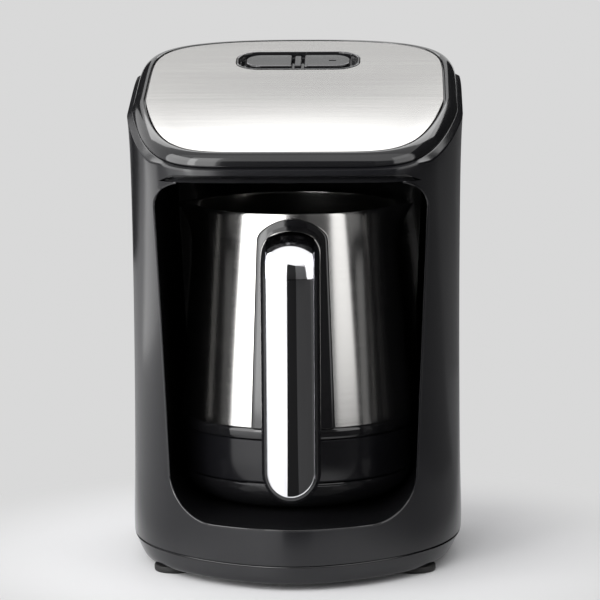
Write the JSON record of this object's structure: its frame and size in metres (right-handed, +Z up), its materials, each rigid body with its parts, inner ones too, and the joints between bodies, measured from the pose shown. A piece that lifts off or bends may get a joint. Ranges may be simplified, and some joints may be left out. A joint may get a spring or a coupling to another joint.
{
  "type": "electric turkish coffee maker",
  "caption": "Electric Turkish coffee maker: a black housing with a sloped brushed steel top and an open niche that holds a lift-out steel pot with an upright chrome-faced handle.",
  "frame": {"origin": "centre of the footprint, on the table under the feet", "axes": "+Z up, front of the machine faces -Y, +X to its left as it looks out"},
  "size_m": [0.1558, 0.176, 0.2362],
  "materials": {
    "satin_black": "satin moulded",
    "gloss_black": "gloss moulded",
    "brushed_plate": "brushed",
    "brushed_pot": "brushed round the pot",
    "chrome_trim": "polished plating",
    "screw_steel": "zinc plated",
    "foot_rubber": "matte",
    "contact_brass": "bright",
    "circuit_board": "satin",
    "component_dark": "satin",
    "relay_blue": "satin",
    "transformer_yellow": "satin",
    "terminal_white": "satin",
    "lens_white": "lit, translucent",
    "sensor_red": "dark red, infrared clear",
    "spreader_aluminium": "plain",
    "heater_sheath": "oxidised",
    "ceramic": "matte"
  },
  "bodies": {
    "housing": {"base_plate": "satin_black", "front_shell": "satin_black", "rear_cover": "satin_black", "niche_liner": "gloss_black", "pedestal": "gloss_black", "top_cover": "gloss_black", "top_plate": "brushed_plate", "button_bezel": "gloss_black", "control_board": "circuit_board", "switch_left": "component_dark", "switch_right": "component_dark", "buzzer": "component_dark", "sensor_module": "circuit_board", "sensor_window": "sensor_red", "power_board": "circuit_board", "relay": "relay_blue", "transformer": "transformer_yellow", "socket_block": "satin_black", "socket_contacts": "contact_brass", "cord_gland": "satin_black", "terminal_block": "terminal_white", "foot_front_left": "foot_rubber", "foot_front_right": "foot_rubber", "foot_rear_left": "foot_rubber", "foot_rear_right": "foot_rubber", "base_screws": "screw_steel", "rear_screws": "screw_steel", "board_screws": "screw_steel"},
    "pot": {"pot_body": "brushed_pot", "pot_collar": "gloss_black", "pot_base_cup": "satin_black", "pot_base_cover": "satin_black", "heating_element": "heater_sheath", "heat_spreader": "spreader_aluminium", "thermostat": "ceramic", "pot_plug": "satin_black", "plug_blades": "contact_brass", "handle_strip": "gloss_black", "handle_shell": "gloss_black", "handle_chrome": "chrome_trim", "handle_bracket": "screw_steel", "handle_screw": "screw_steel"},
    "button_left": {"button_left": "gloss_black", "plunger_left": "contact_brass"},
    "button_right": {"button_right": "gloss_black", "plunger_right": "contact_brass", "indicator_lens": "lens_white"}
  },
  "joints": [
    {"name": "pot_slide", "type": "slide", "parent": "housing", "child": "pot", "axis": [0, -1, 0], "range_m": [0, 0.16]},
    {"name": "left_press", "type": "slide", "parent": "housing", "child": "button_left", "axis": [0, 0.2453, -0.9694], "range_m": [0, 0.0012], "stiffness_N_per_m": 400},
    {"name": "right_press", "type": "slide", "parent": "housing", "child": "button_right", "axis": [0, 0.2453, -0.9694], "range_m": [0, 0.0012], "stiffness_N_per_m": 400}
  ]
}
